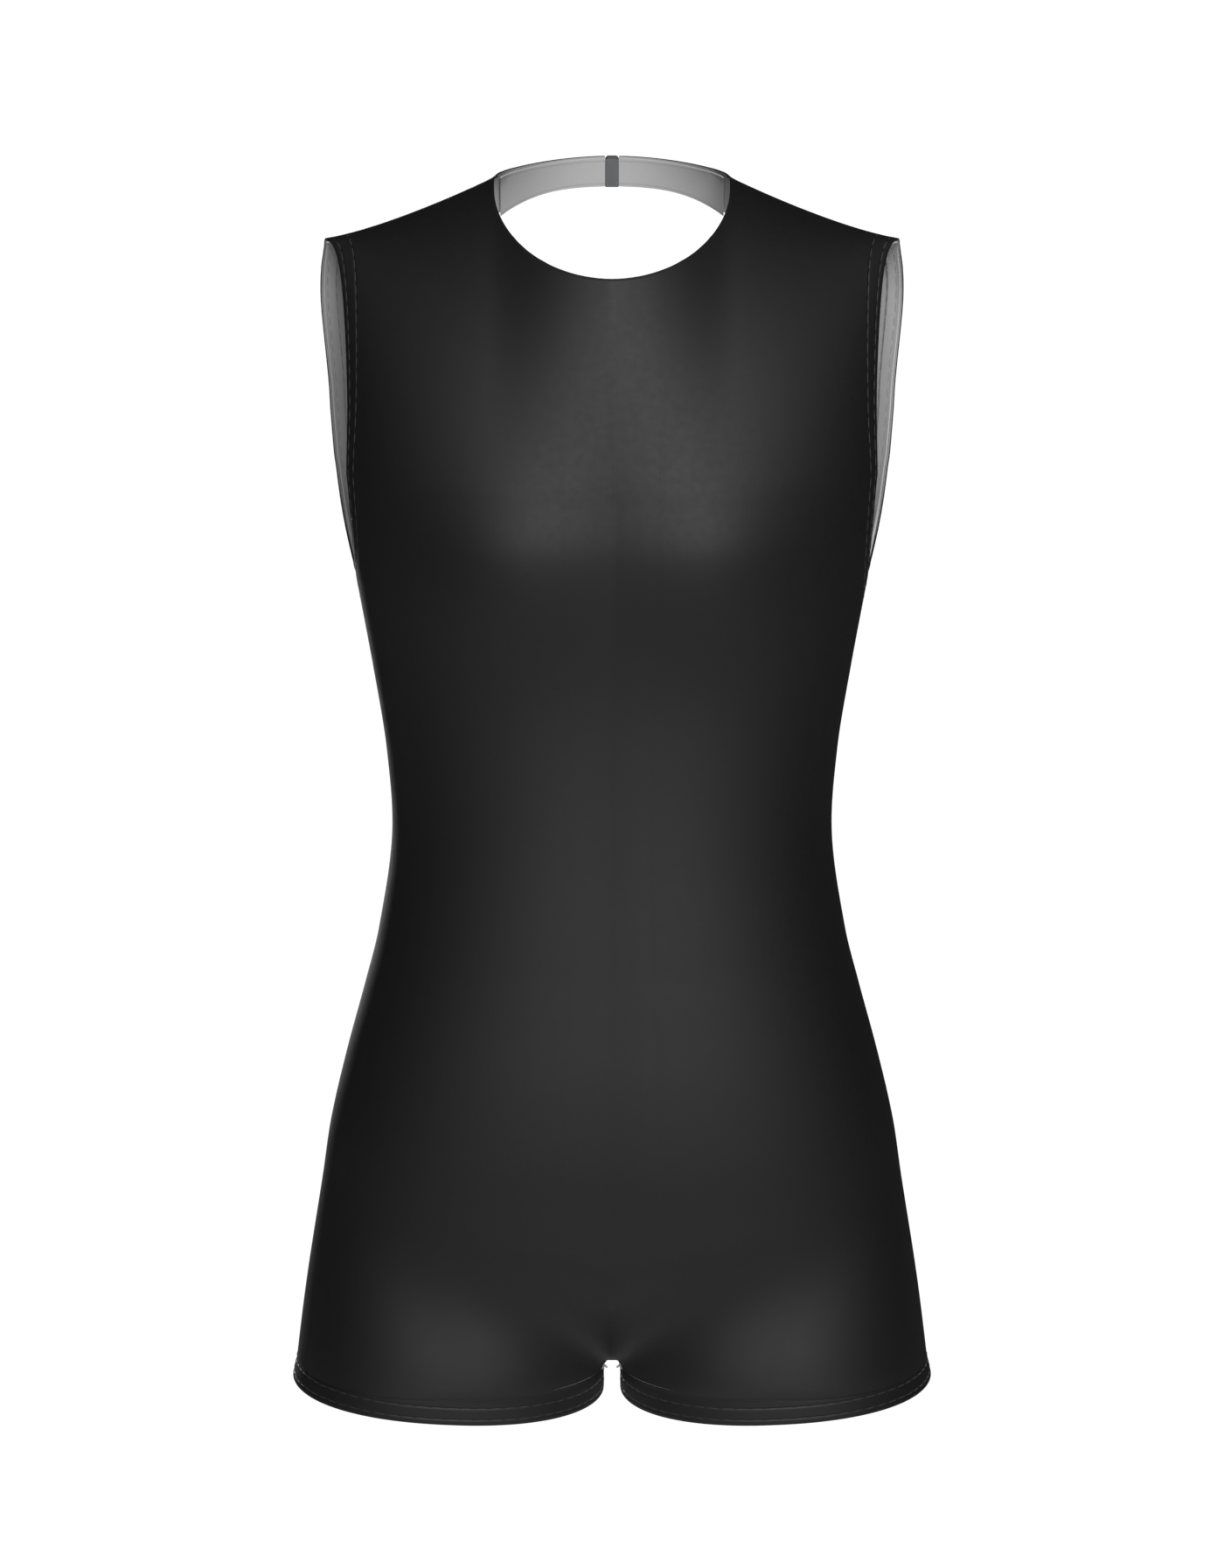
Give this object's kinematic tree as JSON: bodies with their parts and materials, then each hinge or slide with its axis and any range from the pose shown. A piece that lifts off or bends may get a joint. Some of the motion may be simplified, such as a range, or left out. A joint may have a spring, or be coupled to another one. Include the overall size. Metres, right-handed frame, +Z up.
{
  "type": "gymnastics leotard",
  "caption": "Sleeveless gymnastics leotard with short legs, round front neckline, open keyhole back and a clasp at the nape, in its worn shape.",
  "frame": {"origin": "on the plane between the two sides, under the side seams, at the height of the inner sides of the leg hems, which dip less than 1 mm below it: the foot of the upright line on which a body form carries the leotard", "axes": "+Z up the body, +X to the wearer's left, the front faces -Y"},
  "size_m": [0.3558, 0.2265, 0.6795],
  "materials": {
    "black_knit": "smooth stretch knit, soft sheen",
    "knit_inside": "matt brushed inner face of the knit",
    "elastic": "woven covered elastic",
    "clasp": "satin moulded plastic"
  },
  "bodies": {
    "garment": {"front_panel": "black_knit", "back_panel_left": "black_knit", "back_panel_right": "black_knit", "leg_hem_left": "knit_inside", "leg_hem_right": "knit_inside", "leg_elastic_left": "elastic", "leg_elastic_right": "elastic", "armhole_hem_left": "knit_inside", "armhole_hem_right": "knit_inside", "armhole_elastic_left": "elastic", "armhole_elastic_right": "elastic", "front_neck_elastic": "elastic", "keyhole_elastic": "elastic", "side_seam_left": "knit_inside", "side_seam_right": "knit_inside", "shoulder_seam_left": "knit_inside", "shoulder_seam_right": "knit_inside", "inseam_left": "knit_inside", "inseam_right": "knit_inside", "centre_back_seam": "knit_inside", "crotch_lining": "knit_inside"},
    "neckband_left": {"neckband_left": "black_knit", "neckband_elastic_left": "elastic", "neckband_facing_left": "knit_inside", "clasp_hook": "clasp"},
    "neckband_right": {"neckband_right": "black_knit", "neckband_elastic_right": "elastic", "neckband_facing_right": "knit_inside", "clasp_eye": "clasp"}
  },
  "joints": [
    {"name": "neckband_left_fold", "type": "hinge", "parent": "garment", "child": "neckband_left", "pos_m": [0.05, 0.0549, 0.6669], "axis": [0, 0.6328, -0.7743], "range_deg": [0, 75]},
    {"name": "neckband_right_fold", "type": "hinge", "parent": "garment", "child": "neckband_right", "pos_m": [-0.05, 0.0549, 0.6669], "axis": [0, -0.6328, 0.7743], "range_deg": [0, 75]}
  ],
  "couplings": [
    {"joint": "neckband_right_fold", "follows": "neckband_left_fold", "ratio": 1}
  ]
}
